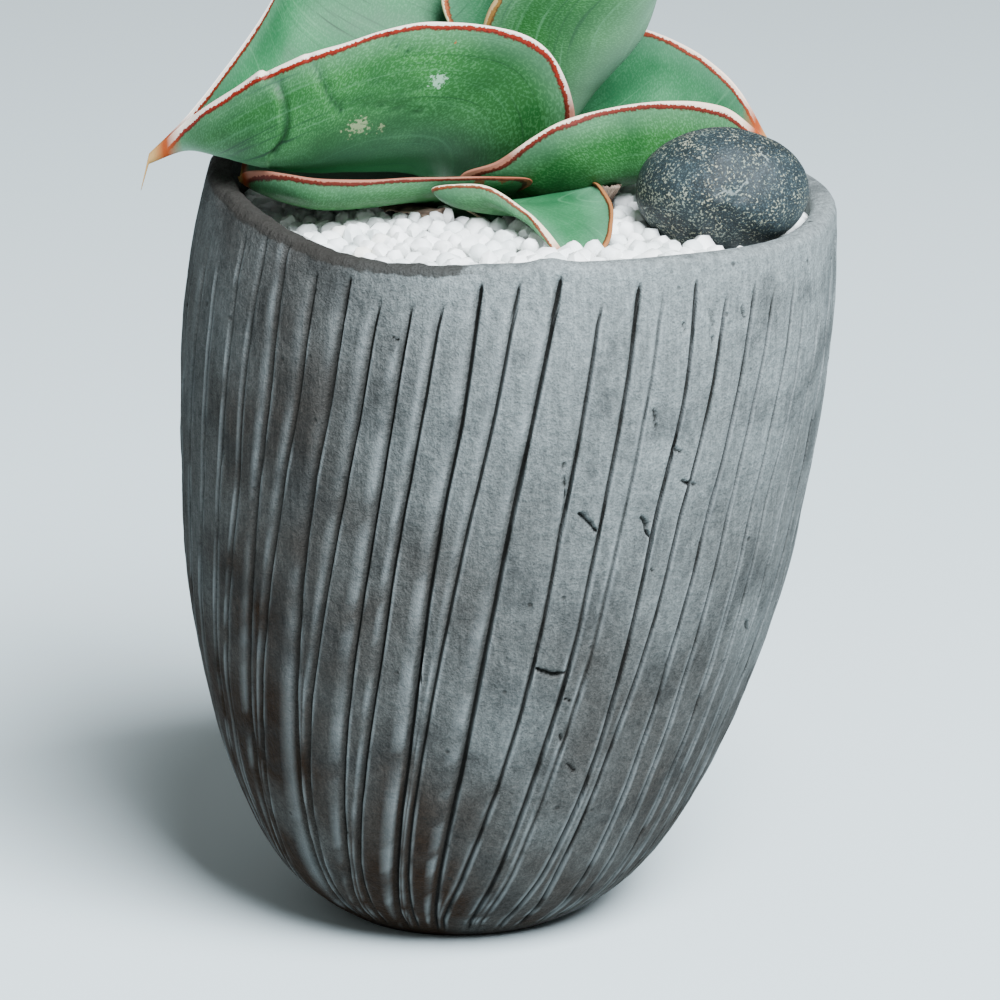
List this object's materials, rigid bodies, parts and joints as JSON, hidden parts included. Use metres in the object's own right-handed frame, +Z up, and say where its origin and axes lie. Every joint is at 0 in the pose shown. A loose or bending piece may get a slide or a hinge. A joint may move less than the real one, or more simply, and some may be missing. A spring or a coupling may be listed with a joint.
{
  "type": "potted snake plant",
  "caption": "Dwarf boat-leaved snake plant in a leaning, hand-carved charcoal stoneware pot, with white gravel and a dark speckled pebble.",
  "frame": {"origin": "centre of the pot's flat base, on the surface it stands on", "axes": "+Z up; -Y is the front; +X is to the right, the way the pot leans"},
  "size_m": [0.1294, 0.1227, 0.2247],
  "materials": {
    "stoneware": "unglazed, carved, matt",
    "soil": "loose, crumbly",
    "white_gravel": "tumbled chips, matt",
    "dark_pebble": "water-worn, speckled, satin",
    "root": "fleshy, matt",
    "dry_leaf": "dry, papery",
    "leaf": "waxy, mottled, satin"
  },
  "bodies": {
    "root": {"pot": "stoneware", "potting_soil": "soil", "gravel_bed": "white_gravel", "black_pebble": "dark_pebble", "rhizome_and_roots": "root", "dry_basal_sheath": "dry_leaf", "leaf_low_front": "leaf", "leaf_lower_left": "leaf", "leaf_right": "leaf", "leaf_front_left": "leaf", "leaf_upper_right": "leaf", "leaf_centre": "leaf"}
  },
  "joints": []
}
